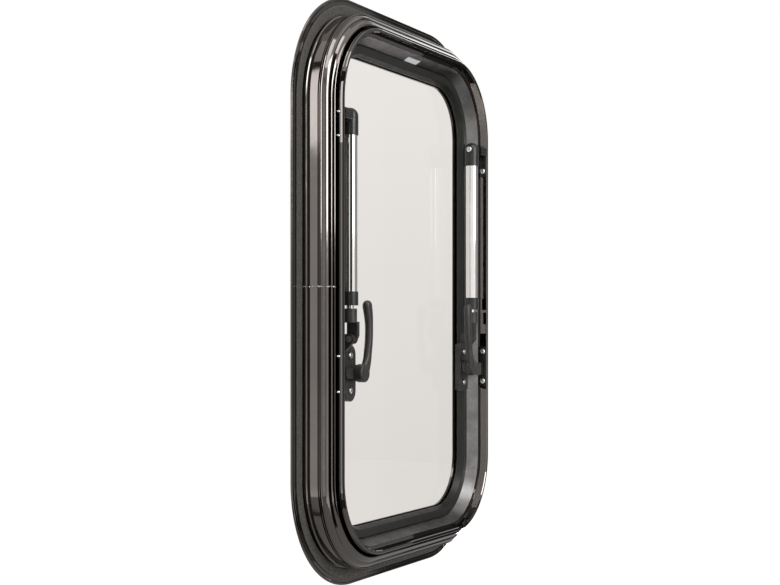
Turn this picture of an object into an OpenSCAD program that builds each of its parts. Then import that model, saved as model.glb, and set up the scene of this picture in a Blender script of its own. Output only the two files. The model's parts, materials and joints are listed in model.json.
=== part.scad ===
// Top-hung window for a caravan or camper wall, seen closed.
// An outer extrusion with a flange lies on the outside of the wall, an inner ring lines the opening,
// and a framed pane hangs between them on a hinge at the top. Two telescopic stays and two lever
// latches stand on the inside. Units are millimetres, +Z is up, and -Y points into the caravan.

/* [Window] */
// Overall width across the outer flange
win_w = 450; // [400:10:900]
// Overall height across the outer flange
win_h = 650; // [620:10:1000]
// Corner radius of the flange's edge
corner_r = 125; // [110:5:180]
// Height of the origin above the flange's lower edge
origin_up = 4; // [2:0.5:6]

/* [Outer frame] */
// Thickness of the flange plate
flange_t = 2.5; // [2:0.1:3.5]
// Flange width from its edge to the side wall of the body
flange_w = 19.5; // [17:0.5:20]
// Wall thickness of the outer extrusion
wall_t = 2; // [1.6:0.1:2.4]
// Depth of the flat side wall
body_d = 23.4; // [22:0.2:25]
// Depth of the front lip beside the ring's rim
lip_d = 33.2; // [32:0.2:33.6]
// Depth of the shallow groove round the side wall
groove_t = 0.8; // [0.4:0.1:1]
// Thickness of the foam seal on the flange
seal_t = 2; // [1:0.25:3]

/* [Inner ring] */
// Distance from the flange's edge to the outer face of the rim
rim_in = 36.5; // [35.5:0.25:37]
// Depth of the rim, which is the deepest edge of the ring
rim_d = 40.1; // [39:0.5:50]
// Width of the folded rim
rim_w = 4.4; // [4.2:0.1:5]
// Wall thickness of the inner extrusion
ring_t = 1.8; // [1.4:0.1:2]
// Depth of the ledge at the foot of the rim
ledge_d = 29.8; // [28.5:0.1:30.2]
// Distance from the flange's edge to the lip that covers the sash
reveal_in = 52.3; // [51:0.1:53]
// Depth of that lip's front face
reveal_d = 16.5; // [16:0.1:17]
// Distance from the flange's edge to the opening for the sash
frame_in = 44.5; // [43:0.1:45.5]

/* [Sash and glass] */
// Running gap between the frame and the sash
sash_gap = 1.5; // [1:0.1:2]
// Distance from the flange's edge to the visible glass
glass_in = 65; // [64:0.5:70]
// Depth of the glass's inner face
glass_d = 9; // [8:0.1:9.5]
// Thickness of the pane
glass_t = 5; // [3:0.5:6]
// Width of the pane's edge that the bead covers
glass_hold = 8; // [6:0.5:9]
// Depth of the glazing bead's front face
bead_d = 17.4; // [17.1:0.1:18]
// Thickness of the sash extrusion's walls
sash_t = 2; // [1.6:0.1:2.4]
// Height of the sash's outside face above the flange's wall face
sash_out = 4; // [3.5:0.1:5]

/* [Hinge] */
// Length of the hinge at the top
hinge_l = 180; // [120:5:190]
// Radius of the hinge knuckles
knuckle_r = 2.8; // [2.5:0.1:2.9]
// Radius of the hinge pin
hinge_pin_r = 1.5; // [1:0.1:1.7]
// Number of knuckles, which alternate between frame and sash
knuckles = 7; // [3:2:11]

/* [Stays] */
// Distance from the flange's edge to the axis of each stay
stay_in = 67.6; // [66:0.2:69]
// Depth of the stay's axis
stay_d = 30.9; // [30:0.1:32]
// Radius of the chromed tube
tube_r = 8; // [6:0.25:8.5]
// Wall thickness of the chromed tube
tube_t = 1; // [0.6:0.1:1.5]
// Radius of the rod that slides in the tube
rod_r = 4; // [3:0.25:4.5]
// Length of the chromed tube
tube_l = 166.8; // [120:0.2:200]
// Distance from the upper corner's start down to the middle of the stay bracket
bracket_drop = 26.15; // [21:0.05:60]
// Length of the collar under the tube
collar_l = 14.7; // [10:0.1:20]
// Gap between the collar and the fork, where the rod shows
rod_show = 3.4; // [2:0.1:6]
// Length of the fork's round barrel
barrel_l = 15; // [12:0.5:18]
// Radius of the fork's round barrel
barrel_r = 7.5; // [7:0.1:8]
// Radius of the lugs that the stay turns on
lug_r = 5.5; // [5:0.1:5.8]
// Radius of the pivot screws and pins of the stay
pivot_r = 2.5; // [2:0.1:2.6]
// Distance from the fork's barrel to its pivot
fork_reach = 17.6; // [16:0.2:20]

/* [Latches] */
// Distance from the flange's edge to the middle of the latch base
latch_in = 78.7; // [78:0.1:80]
// Distance from the stay's lower pivot down to the latch's axis
latch_drop = 36.7; // [36.5:0.1:60]
// Width of the latch base
base_w = 23; // [22:0.5:24]
// Length of the latch base
base_l = 61.4; // [60:0.2:66]
// Thickness of the latch base
base_t = 6.3; // [5:0.1:7]
// Thickness of the steel strap under the latch base
strap_t = 1.5; // [1:0.1:2]
// Distance between the two screws of the latch base
base_pitch = 37.7; // [36:0.1:40]
// Radius of the lever's hub
hub_r = 10; // [9:0.25:10.5]
// Thickness of the lever's shank along the hub
lever_t = 7; // [5:0.5:8]
// Depth of the lever's front face
lever_d = 43; // [42:0.5:45]
// Length of the lever above its hub
lever_l = 72.4; // [60:0.2:76]
// Width of the lever's shank
shank_w = 9; // [7:0.25:10]
// Width of the lever's rounded tip
tip_w = 12.5; // [10:0.25:14]
// Radius of the spindle that carries the lever
spindle_r = 4; // [3:0.25:4.5]
// Reach of the tongue from the hub's axis
tongue_l = 25; // [24:0.25:26]
// Thickness of the tongue
tongue_t = 3.6; // [3:0.1:4]
// Width of the tongue
tongue_w = 11; // [9:0.25:12]

/* [Plates on the jambs] */
// Thickness of the plates screwed to the rim
plate_t = 2; // [1.5:0.1:2.5]
// Length of each keeper plate
keeper_l = 50.2; // [48:0.1:54]
// Distance between the two screws of a keeper
keeper_pitch = 37.5; // [36:0.1:40]
// Width of the keeper's block
block_w = 15.4; // [14:0.1:16]
// Length of each stay bracket's plate
bracket_l = 40.3; // [40:0.1:44]
// Distance between the two screws of a stay bracket
bracket_pitch = 25.2; // [24:0.1:26]
// Length of each stop leaf on the glazing bead
stop_l = 29; // [24:0.5:32]
// Width of each stop leaf
stop_w = 5; // [4:0.5:6]
// Thickness of each stop leaf
stop_t = 2; // [1:0.25:3]

/* [Screws] */
// Radius of the screw heads
head_r = 3.5; // [3:0.1:3.7]
// Height of the screw heads
head_t = 1.8; // [1:0.1:2]
// Radius of the small screws' shanks
shank_r = 1.5; // [1:0.1:1.6]

/* [Clearances] */
// Gap between parts that lie loosely on each other
rest_gap = 0.3; // [0.2:0.05:0.4]
// Radial gap between a screw and its hole
hole_gap = 0.2; // [0.1:0.05:0.3]
// Radial gap of the turning pins and of the spindle
pin_gap = 0.05; // [0.02:0.01:0.1]

/* [Hidden] */
left = -1;
right = 1;
arc_fn = 96;
small_fn = 48;
hull_fn = 32;
knob_fn = 24;
bore_over = 1;
seam_turn = 45;

centre_up = win_h / 2 - origin_up;
edge_c = 0.8;

// Outer extrusion: the bead and the steps between the side wall and the front lip
step_w = 1.8;
step_up = 0.8;
step_in = 1;
bead_r = 1.9;
bead_o = flange_w + 5.6;
bead_c = body_d + 4.6;
bead_from = 20;
bead_to = 200;
bead_back = 4;
lip_w = 1.8;
lip_foot = 3;
lip_in = rim_in - 3.3;
edge_groove_o = 3.2;
edge_groove_w = 1.2;
wall_groove_d = 10;
wall_groove_w = 3.6;
seal_o = 7.8;

// Inner ring
rim_h = 13.1;
rim_low = rim_d - rim_h;
rim_groove_d = rim_d - 3.7;
rim_groove_t = 0.5;
ledge_o = rim_in + rim_w;
slope_o = ledge_o + 3.9;
slope_d = ledge_d - 0.4;
ledge_u = ledge_d - 1.6;
slope_u = slope_o - 1.2;
slope_foot = 2.4;
pocket_d = reveal_d - 2;

// Sash
sash_o = frame_in + sash_gap;
glass_o = glass_in - glass_hold;
web_o = glass_o - 1;
sash_d = glass_d + 2;
sash_c = 1.2;
sash_lip_t = 2.6;
lip_o = glass_in + 1;
bead_in = reveal_in + 0.5;
bead_c_w = 0.6;
bead_c_d = 0.4;
bead_slope = 3;
bead_round = 0.8;
gasket_r = 1.6;
gasket_in = 0.6;
gasket_foot = 4.6;

// Hinge
hinge_o = frame_in + sash_gap / 2;
hinge_d = -sash_out - knuckle_r - rest_gap / 2;
leaf_t = 1.5;
leaf_w = 11;
knuckle_l = hinge_l / knuckles;

// Places across the window, from its middle
function from_edge(o) = win_w / 2 - o;
stay_x = from_edge(stay_in);
latch_x = from_edge(latch_in);
hub_x = latch_x - 4;
rim_x = from_edge(ledge_o);
reveal_x = from_edge(reveal_in);
slope_x = from_edge(slope_o);

// Heights from the middle of the window: the bracket stands off the corner, and what hangs from it follows
bracket_y = win_h / 2 - corner_r - bracket_drop;
socket_r = tube_r + 1;
dome_up = 8;
pivot_top = bracket_y + bracket_l / 2 - dome_up;
pivot_rise = 20.5;
tube_top = pivot_top - pivot_rise;
tube_low = tube_top - tube_l;
collar_low = tube_low - collar_l;
barrel_top = collar_low - rod_show;
barrel_low = barrel_top - barrel_l;
pivot_low = barrel_low - fork_reach;
latch_up = pivot_low - latch_drop;
keeper_y = latch_up + 0.2;
stop_up = pivot_top - 4.5;
stop_screw_y = stop_up - stop_l / 2 + 4.2;

// Stay
flat_in = socket_r - 1.4;
flat_out = socket_r - 0.4;
collar_r = tube_r + 0.9;
spigot_l = 6;
rod_in_barrel = 10;
rod_in_tube = 60;
lug_t = 4.6;
ear_t = 4.8;
ear_gap = 0.4;
ear_slope = 4;
pin_head_t = 1.2;
pin_head_r = pivot_r + 1;

// Latch
strap_front = bead_d + strap_t;
strap_in = 2;
base_front = strap_front + base_t;
neck_t = 2;
block_front = base_front + neck_t + 1;
block_t = 5;
block_reach = 11;
block_up = 4.7;
tongue_back = block_front + rest_gap;
tongue_front = tongue_back + tongue_t;
lever_back = lever_d - lever_t;
hub_back = tongue_front + rest_gap;
foot_l = 8;
foot_side = 6;
foot_w = 9;

// Stations along the lever, from the hub to the tip: distance inboard and height from the hub's axis,
// half the width, half the thickness, and how far the front face lies behind the lever's deepest one
tip_r = tip_w / 2;
lever_stations = [
    [7.5, lever_l * 0.17, shank_w / 2 + 1.1, 3.9, 0],
    [9.7, lever_l * 0.29, shank_w / 2 + 0.4, 4, 0],
    [12.4, lever_l * 0.5, shank_w / 2, 4.1, 0],
    [13.2, lever_l * 0.7, shank_w / 2 + 0.1, 4.1, 0.2],
    [12.6, lever_l * 0.87, tip_r - 0.7, 4.4, 0.4],
    [11.1, lever_l, tip_r, 4.6, 0.7]
];

// Jamb screws lie along X, in front of the front lip
screw_d = lip_d + shank_r + rest_gap;
plate_low = ledge_d + 0.9;
plate_high = rim_d - 1.7;
tip_reach = 4;
bracket_screws_y = [for (s = [-1, 1]) bracket_y + s * bracket_pitch / 2];
keeper_screws_y = [for (s = [-1, 1]) keeper_y + s * keeper_pitch / 2];
base_screws_y = [for (s = [-1, 1]) latch_up + s * base_pitch / 2];

// The bracket's arm is hollow behind its front wall, where it passes over the upper screw
boss_low = stay_x + flat_out + 0.9;
boss_high = boss_low + 6;
boss_r = socket_r - 1;
arm_up = 6.2;
arm_r = 2.5;
arm_wall = 1.6;
pocket_r = head_r + rest_gap;
pocket_front = screw_d + pocket_r;
arm_front = pocket_front + arm_wall;

// Sweeps a closed outline of [inset, depth] points round the rounded rectangle
module ring(points) {
    for (turn = [0:3]) {
        half = turn % 2 == 0 ? win_w / 2 : win_h / 2;
        run = (turn % 2 == 0 ? win_h : win_w) - 2 * corner_r;
        rotate([0, 0, 90 * turn]) {
            translate([0, run / 2, 0])
                rotate([90, 0, 0])
                    linear_extrude(run)
                        polygon([for (p = points) [half - p[0], p[1]]]);
            translate([half - corner_r, run / 2, 0])
                rotate_extrude(angle = 90, $fn = arc_fn)
                    polygon([for (p = points) [corner_r - p[0], p[1]]]);
        }
    }
}

// A plate with the outline of the rounded rectangle at one inset
module pane(inset, low, high) {
    r = corner_r - inset;
    translate([0, 0, low])
        linear_extrude(high - low)
            union() {
                square([win_w - 2 * corner_r, win_h - 2 * inset], center = true);
                square([win_w - 2 * inset, win_h - 2 * corner_r], center = true);
                for (x = [-1, 1])
                    for (y = [-1, 1])
                        translate([x * (win_w / 2 - corner_r), y * (win_h / 2 - corner_r)])
                            circle(r, $fn = arc_fn);
            }
}

// Stands the window up: local X is across, local Y is up and local Z is depth into the caravan
module upright() {
    translate([0, 0, centre_up])
        rotate([90, 0, 0])
            children();
}

// Puts what is drawn for the right side on either side
module on_side(side) {
    upright()
        mirror([side == left ? 1 : 0, 0, 0])
            children();
}

// Points along an arc in an outline
function arc(x, y, r, from, to, steps) =
    [for (i = [0:steps]) let (a = from + (to - from) * i / steps) [x + r * cos(a), y + r * sin(a)]];

// A round bar along X, from low to high
module bar_x(low, high, r, y, z, fn = small_fn) {
    translate([low, y, z])
        rotate([0, 90, 0])
            cylinder(h = high - low, r = r, $fn = fn);
}

// A round bar along Y, from low to high
module bar_y(low, high, r, x, z, fn = arc_fn) {
    translate([x, low, z])
        rotate([-90, 0, 0])
            cylinder(h = high - low, r = r, $fn = fn);
}

// A flat bar with round ends, standing along Y
module stadium(width, length, height) {
    straight = length - width;
    linear_extrude(height)
        union() {
            square([width, straight], center = true);
            for (y = [-1, 1])
                translate([0, y * straight / 2])
                    circle(width / 2, $fn = small_fn);
        }
}

// A screw along X whose head lies on the inner side of face x
module jamb_screw(x, y) {
    bar_x(x - head_t, x, head_r, y, screw_d);
    bar_x(x, from_edge(rim_in) + tip_reach, shank_r, y, screw_d);
}

// A hole along X for such a screw
module jamb_hole(y) {
    bar_x(from_edge(reveal_in), from_edge(lip_in), shank_r + hole_gap, y, screw_d);
}

// A rectangle between two corners, with round corners of its own
module rounded(x, y, r) {
    union() {
        translate([x[0] + r, y[0]])
            square([x[1] - x[0] - 2 * r, y[1] - y[0]]);
        translate([x[0], y[0] + r])
            square([x[1] - x[0], y[1] - y[0] - 2 * r]);
        for (cx = [x[0] + r, x[1] - r])
            for (cy = [y[0] + r, y[1] - r])
                translate([cx, cy])
                    circle(r, $fn = small_fn);
    }
}

// Extrudes an outline drawn in Y and Z along X, from low to high
module along_x(low, high) {
    translate([low, 0, 0])
        rotate([90, 0, 90])
            linear_extrude(high - low)
                children();
}

module outer_frame() {
    color([0.17, 0.15, 0.14])
        upright()
            ring(concat(
                [[0, -flange_t + edge_c], [edge_c, -flange_t], [frame_in, -flange_t], [frame_in, 0]],
                [[flange_w + wall_t, 0], [flange_w + wall_t, body_d - step_in]],
                [[bead_o, bead_c - bead_r], [bead_o + bead_back, lip_d - wall_t - lip_foot]],
                [[lip_in - lip_w, lip_d - wall_t], [lip_in, lip_d - wall_t], [lip_in, lip_d]],
                [[lip_in - lip_w, lip_d], [bead_o + bead_back - step_in, bead_c + bead_r / 2]],
                arc(bead_o, bead_c, bead_r, bead_from, bead_to, 8),
                [[flange_w + step_w, bead_c - bead_r], [flange_w + step_w, body_d + step_up]],
                [[flange_w + step_up, body_d + step_up], [flange_w, body_d]],
                [[flange_w, wall_groove_d + wall_groove_w]],
                [[flange_w + groove_t, wall_groove_d + wall_groove_w - groove_t]],
                [[flange_w + groove_t, wall_groove_d + groove_t], [flange_w, wall_groove_d]],
                [[flange_w, 0]],
                [[edge_groove_o + edge_groove_w, 0], [edge_groove_o + edge_groove_w / 2, -groove_t]],
                [[edge_groove_o, 0], [0, 0]]
            ));
}

module flange_seal() {
    color([0.32, 0.32, 0.32])
        upright()
            ring([[seal_o, 0], [flange_w - rest_gap, 0], [flange_w - rest_gap, seal_t], [seal_o, seal_t]]);
}

module inner_ring() {
    color([0.2, 0.18, 0.17])
        difference() {
            upright()
                ring([
                    [rim_in, rim_d - edge_c], [rim_in, rim_groove_d + rim_groove_t],
                    [rim_in + rim_groove_t, rim_groove_d], [rim_in, rim_groove_d - rim_groove_t],
                    [rim_in, rim_low], [rim_in + ring_t, rim_low],
                    [rim_in + ring_t, rim_d - ring_t], [ledge_o - ring_t, rim_d - ring_t],
                    [ledge_o - ring_t, ledge_u], [slope_u, ledge_u - edge_c],
                    [reveal_in - slope_foot, reveal_d], [frame_in - ring_t, reveal_d], [frame_in - ring_t, 0],
                    [frame_in, 0], [frame_in, pocket_d], [reveal_in, pocket_d], [reveal_in, reveal_d],
                    [slope_o, slope_d], [ledge_o, ledge_d + edge_c / 2], [ledge_o, rim_d - edge_c],
                    [ledge_o - edge_c, rim_d], [rim_in + edge_c, rim_d]
                ]);
            for (side = [left, right])
                on_side(side)
                    for (y = concat(bracket_screws_y, keeper_screws_y))
                        jamb_hole(y);
        }
}

module sash_frame() {
    color([0.16, 0.15, 0.15])
        upright()
            ring([
                [sash_o, -sash_out + sash_c], [sash_o + sash_c, -sash_out], [web_o, -sash_out],
                [lip_o, glass_d - glass_t - sash_lip_t], [lip_o, glass_d - glass_t],
                [web_o, glass_d - glass_t], [web_o, sash_d], [sash_o, sash_d],
                [sash_o, sash_d - sash_t], [web_o - sash_t, sash_d - sash_t],
                [web_o - sash_t, -sash_out + sash_t + sash_c / 2], [sash_o, -sash_out + sash_t + sash_c / 2]
            ]);
}

module glass_pane() {
    color([0.55, 0.55, 0.56, 0.4])
        upright()
            pane(glass_o, glass_d - glass_t, glass_d);
}

module glazing_bead() {
    color([0.13, 0.13, 0.12])
        upright()
            ring([
                [bead_in, sash_d], [web_o, sash_d], [web_o, glass_d], [glass_in, glass_d],
                [glass_in, glass_d + bead_c_w], [glass_in - bead_slope, bead_d - bead_c_d],
                [glass_in - bead_slope - bead_round, bead_d], [bead_in + bead_c_w, bead_d],
                [bead_in, bead_d - bead_c_d]
            ]);
}

module sash_gasket() {
    color([0.08, 0.08, 0.08])
        upright()
            ring(concat(
                [[sash_o + gasket_in, sash_d]],
                arc(sash_o + gasket_in + gasket_foot / 2, pocket_d - rest_gap - gasket_r, gasket_r, 180, 0, 6),
                [[sash_o + gasket_in + gasket_foot, sash_d]]
            ));
}

// Where each knuckle starts along the hinge
function knuckle_x(i) = -hinge_l / 2 + i * knuckle_l + rest_gap / 2;

// Knuckles of one leaf: every second one, starting at first
module knuckle_row(first) {
    for (i = [first:2:knuckles - 1])
        bar_x(knuckle_x(i), knuckle_x(i + 1) - rest_gap, knuckle_r, win_h / 2 - hinge_o, hinge_d);
}

module hinge_bore() {
    bar_x(-hinge_l / 2 - bore_over, hinge_l / 2 + bore_over, hinge_pin_r + pin_gap,
        win_h / 2 - hinge_o, hinge_d);
}

module hinge_frame_leaf() {
    color([0.16, 0.15, 0.15])
        upright()
            difference() {
                union() {
                    translate([-hinge_l / 2, win_h / 2 - frame_in, -flange_t - leaf_t])
                        cube([hinge_l, leaf_w, leaf_t]);
                    for (i = [0:2:knuckles - 1])
                        translate([knuckle_x(i), win_h / 2 - hinge_o, hinge_d])
                            cube([knuckle_l - rest_gap, knuckle_r, -flange_t - hinge_d]);
                    knuckle_row(0);
                }
                hinge_bore();
            }
}

module hinge_sash_leaf() {
    color([0.16, 0.15, 0.15])
        upright()
            difference() {
                union() {
                    translate([-hinge_l / 2, win_h / 2 - web_o, -sash_out - leaf_t])
                        cube([hinge_l, web_o - hinge_o - knuckle_r - rest_gap, leaf_t]);
                    for (i = [1:2:knuckles - 1])
                        translate([knuckle_x(i), win_h / 2 - web_o, -sash_out - leaf_t])
                            cube([knuckle_l - rest_gap, web_o - hinge_o, leaf_t]);
                    knuckle_row(1);
                }
                hinge_bore();
            }
}

module hinge_pin() {
    color([0.6, 0.6, 0.6])
        upright()
            bar_x(-hinge_l / 2, hinge_l / 2, hinge_pin_r, win_h / 2 - hinge_o, hinge_d);
}

module stay_bracket(side) {
    color([0.15, 0.15, 0.15])
        on_side(side)
            difference() {
                union() {
                    translate([rim_x - plate_t, bracket_y, (plate_low + plate_high) / 2])
                        rotate([0, 90, 0])
                            stadium(plate_high - plate_low, bracket_l, plate_t);
                    bar_x(boss_low, boss_high, boss_r, pivot_top, stay_d);
                    along_x(boss_low, rim_x - plate_t / 2)
                        rounded([pivot_top - lug_r, pivot_top + arm_up], [plate_low, arm_front], arm_r);
                }
                translate([boss_high, bracket_screws_y[1] - pocket_r, plate_low - bore_over])
                    cube([rim_x - plate_t - boss_high, 2 * pocket_r, pocket_front - plate_low + bore_over]);
                bar_x(boss_low - bore_over, boss_high + 2 * bore_over, pivot_r + pin_gap, pivot_top, stay_d);
                for (y = bracket_screws_y)
                    jamb_hole(y);
            }
}

module bracket_screws(side) {
    color([0.8, 0.8, 0.8])
        on_side(side)
            for (y = bracket_screws_y)
                jamb_screw(rim_x - plate_t, y);
}

module stay_socket(side) {
    dome = arc(0, pivot_rise, socket_r, 0, 90, 12);
    color([0.1, 0.1, 0.1])
        on_side(side)
            difference() {
                translate([stay_x, tube_top, stay_d])
                    rotate([-90, 0, 0])
                        rotate([0, 0, seam_turn])
                            rotate_extrude($fn = arc_fn)
                                polygon(concat([[0, 0], [socket_r, 0]], dome));
                bar_x(stay_x - socket_r - bore_over, stay_x - flat_in, lug_r, pivot_top, stay_d);
                bar_x(stay_x + flat_out, stay_x + socket_r + bore_over, boss_r, pivot_top, stay_d);
                bar_x(stay_x - socket_r - bore_over, stay_x + socket_r + bore_over,
                    pivot_r + pin_gap, pivot_top, stay_d);
            }
}

module stay_screw(side) {
    color([0.8, 0.8, 0.8])
        on_side(side) {
            bar_x(stay_x - flat_in, boss_high, pivot_r, pivot_top, stay_d);
            bar_x(stay_x - flat_in - head_t, stay_x - flat_in, head_r, pivot_top, stay_d);
        }
}

module stay_tube(side) {
    color([0.85, 0.85, 0.86])
        on_side(side)
            difference() {
                bar_y(tube_low, tube_top, tube_r, stay_x, stay_d);
                bar_y(tube_low - bore_over, tube_top + bore_over, tube_r - tube_t, stay_x, stay_d);
            }
}

module stay_collar(side) {
    color([0.09, 0.09, 0.09])
        on_side(side)
            difference() {
                union() {
                    bar_y(collar_low, tube_low, collar_r, stay_x, stay_d);
                    bar_y(tube_low, tube_low + spigot_l, tube_r - tube_t - pin_gap, stay_x, stay_d);
                }
                bar_y(collar_low - bore_over, tube_low + spigot_l + bore_over, rod_r + pin_gap, stay_x, stay_d);
            }
}

module stay_rod(side) {
    color([0.75, 0.75, 0.76])
        on_side(side)
            bar_y(barrel_top - rod_in_barrel, tube_low + rod_in_tube, rod_r, stay_x, stay_d);
}

// The barrel at the rod's end, with one flat plate on its inboard side that reaches down to the pivot
module stay_fork(side) {
    plate_x = stay_x - lug_t / 2 - ear_gap;
    color([0.14, 0.14, 0.14])
        on_side(side)
            difference() {
                union() {
                    bar_y(barrel_low, barrel_top, barrel_r, stay_x, stay_d);
                    bar_x(plate_x - ear_t, plate_x, lug_r, pivot_low, stay_d);
                    along_x(plate_x - ear_t, plate_x)
                        polygon([
                            [pivot_low, stay_d - lug_r], [barrel_low + 1, stay_d - lug_r],
                            [barrel_low + 1, stay_d + barrel_r], [pivot_low + ear_slope, stay_d + barrel_r],
                            [pivot_low - ear_slope, stay_d + ear_slope]
                        ]);
                }
                bar_y(barrel_top - rod_in_barrel, barrel_top + bore_over, rod_r + pin_gap, stay_x, stay_d);
                bar_x(stay_x - socket_r, stay_x + socket_r, pivot_r + pin_gap, pivot_low, stay_d);
            }
}

module fork_pin(side) {
    reach = lug_t / 2 + ear_gap + ear_t;
    color([0.75, 0.75, 0.76])
        on_side(side) {
            bar_x(stay_x - reach, stay_x + lug_t / 2, pivot_r, pivot_low, stay_d);
            bar_x(stay_x - reach - pin_head_t, stay_x - reach, pin_head_r, pivot_low, stay_d);
            bar_x(stay_x + lug_t / 2, stay_x + lug_t / 2 + pin_head_t, pin_head_r, pivot_low, stay_d);
        }
}

module latch_strap(side) {
    outer = from_edge(bead_in + 1);
    inner = latch_x - base_w / 2 + strap_in;
    color([0.3, 0.3, 0.3])
        on_side(side)
            difference() {
                translate([inner, latch_up - base_l / 2 + strap_in, bead_d])
                    cube([outer - inner, base_l - 2 * strap_in, strap_t]);
                for (y = base_screws_y)
                    translate([latch_x, y, bead_d - bore_over])
                        cylinder(h = strap_t + 2 * bore_over, r = shank_r + hole_gap, $fn = small_fn);
            }
}

module latch_base(side) {
    foot_low = latch_up + base_l / 2 - foot_l;
    foot_high = pivot_low + lug_r;
    foot_front = stay_d - lug_r - rest_gap;
    color([0.2, 0.2, 0.2])
        on_side(side)
            difference() {
                union() {
                    translate([latch_x, latch_up, strap_front])
                        stadium(base_w, base_l, base_t);
                    translate([hub_x, latch_up, base_front])
                        cylinder(h = neck_t, r = hub_r - 1, $fn = small_fn);
                    translate([stay_x - lug_t / 2 - foot_side, foot_low, strap_front])
                        cube([lug_t + foot_w, foot_high - foot_low, foot_front - strap_front]);
                    along_x(stay_x - lug_t / 2, stay_x + lug_t / 2)
                        polygon([
                            [foot_low, strap_front], [foot_high, strap_front],
                            [pivot_low + lug_r, stay_d], [pivot_low - ear_slope, stay_d + ear_slope],
                            [foot_low, base_front]
                        ]);
                    bar_x(stay_x - lug_t / 2, stay_x + lug_t / 2, lug_r, pivot_low, stay_d);
                }
                bar_x(stay_x - lug_t, stay_x + lug_t, pivot_r + pin_gap, pivot_low, stay_d);
                translate([hub_x, latch_up, strap_front - bore_over])
                    cylinder(h = block_front - strap_front + 2 * bore_over, r = spindle_r + pin_gap,
                        $fn = small_fn);
                for (y = base_screws_y)
                    translate([latch_x, y, strap_front - bore_over])
                        cylinder(h = base_t + 2 * bore_over, r = shank_r + hole_gap, $fn = small_fn);
            }
}

module latch_screws(side) {
    color([0.8, 0.8, 0.8])
        on_side(side)
            for (y = base_screws_y)
                translate([latch_x, y, 0]) {
                    translate([0, 0, bead_d])
                        cylinder(h = base_front - bead_d, r = shank_r, $fn = small_fn);
                    translate([0, 0, base_front])
                        cylinder(h = head_t, r = head_r, $fn = small_fn);
                }
}

module latch_tongue(side) {
    color([0.22, 0.22, 0.22])
        on_side(side) {
            translate([hub_x, latch_up, strap_front + rest_gap])
                cylinder(h = lever_back - strap_front - rest_gap, r = spindle_r, $fn = small_fn);
            translate([hub_x, latch_up, tongue_back])
                linear_extrude(tongue_t)
                    union() {
                        circle(hub_r - 1, $fn = small_fn);
                        translate([0, -tongue_w / 2])
                            square([tongue_l - tongue_w / 2, tongue_w]);
                        translate([tongue_l - tongue_w / 2, 0])
                            circle(tongue_w / 2, $fn = small_fn);
                    }
        }
}

// The lever swells from its hub, leans inboard and rises in a long S beside the stay to a rounded tip
module latch_lever(side) {
    color([0.2, 0.2, 0.2])
        on_side(side)
            difference() {
                union() {
                    hub();
                    hull() {
                        hub_disc(hub_back, lever_back - hub_back);
                        knob(lever_stations[0]);
                    }
                    hull() {
                        hub_disc(lever_back, lever_t - 1);
                        knob(lever_stations[0]);
                    }
                    for (i = [1:len(lever_stations) - 1])
                        hull() {
                            knob(lever_stations[i - 1]);
                            knob(lever_stations[i]);
                        }
                }
                translate([hub_x, latch_up, tongue_front - bore_over])
                    cylinder(h = lever_back - tongue_front + bore_over, r = spindle_r + pin_gap,
                        $fn = small_fn);
            }
}

// The hub is a thick round disc on the lever's axis
module hub() {
    translate([hub_x, latch_up, hub_back])
        cylinder(h = lever_d - 1 - hub_back, r = hub_r, $fn = small_fn);
}

// A slice of the hub that the lever grows out of
module hub_disc(low, thickness) {
    translate([hub_x, latch_up, low])
        cylinder(h = thickness, r = hub_r - 1, $fn = hull_fn);
}

// The lever's rounded section at one of its stations
module knob(station) {
    translate([hub_x - station[0], latch_up + station[1], lever_d - station[4] - station[3]])
        scale([station[2], station[2], station[3]])
            sphere(1, $fn = knob_fn);
}

module keeper(side) {
    block_in = reveal_x - block_reach;
    seat_x = rim_x - plate_t / 2;
    seat_front = plate_low + block_t - 1;
    color([0.16, 0.16, 0.16])
        on_side(side)
            difference() {
                union() {
                    translate([rim_x - plate_t, keeper_y, (plate_low + plate_high) / 2])
                        rotate([0, 90, 0])
                            stadium(plate_high - plate_low, keeper_l, plate_t);
                    translate([0, latch_up + block_up, 0])
                        rotate([90, 0, 0])
                            linear_extrude(block_w)
                                polygon([
                                    [block_in, block_front - block_t], [reveal_x, block_front - block_t],
                                    [slope_x - 2 * rest_gap, plate_low], [seat_x, plate_low],
                                    [seat_x, seat_front], [slope_x - block_t / 2, seat_front],
                                    [reveal_x - 1, block_front], [block_in, block_front]
                                ]);
                }
                for (y = keeper_screws_y)
                    jamb_hole(y);
            }
}

module keeper_screws(side) {
    color([0.8, 0.8, 0.8])
        on_side(side)
            for (y = keeper_screws_y)
                jamb_screw(rim_x - plate_t, y);
}

// A small leaf screwed flat on the glazing bead beside the upper end of the stay
module sash_stop(side) {
    stop_x = from_edge(glass_in - bead_slope - bead_round - stop_w / 2);
    color([0.12, 0.12, 0.12])
        on_side(side)
            difference() {
                translate([stop_x, stop_up, bead_d])
                    stadium(stop_w, stop_l, stop_t);
                translate([stop_x, stop_screw_y, bead_d - bore_over])
                    cylinder(h = stop_t + 2 * bore_over, r = shank_r, $fn = small_fn);
            }
}

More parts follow.
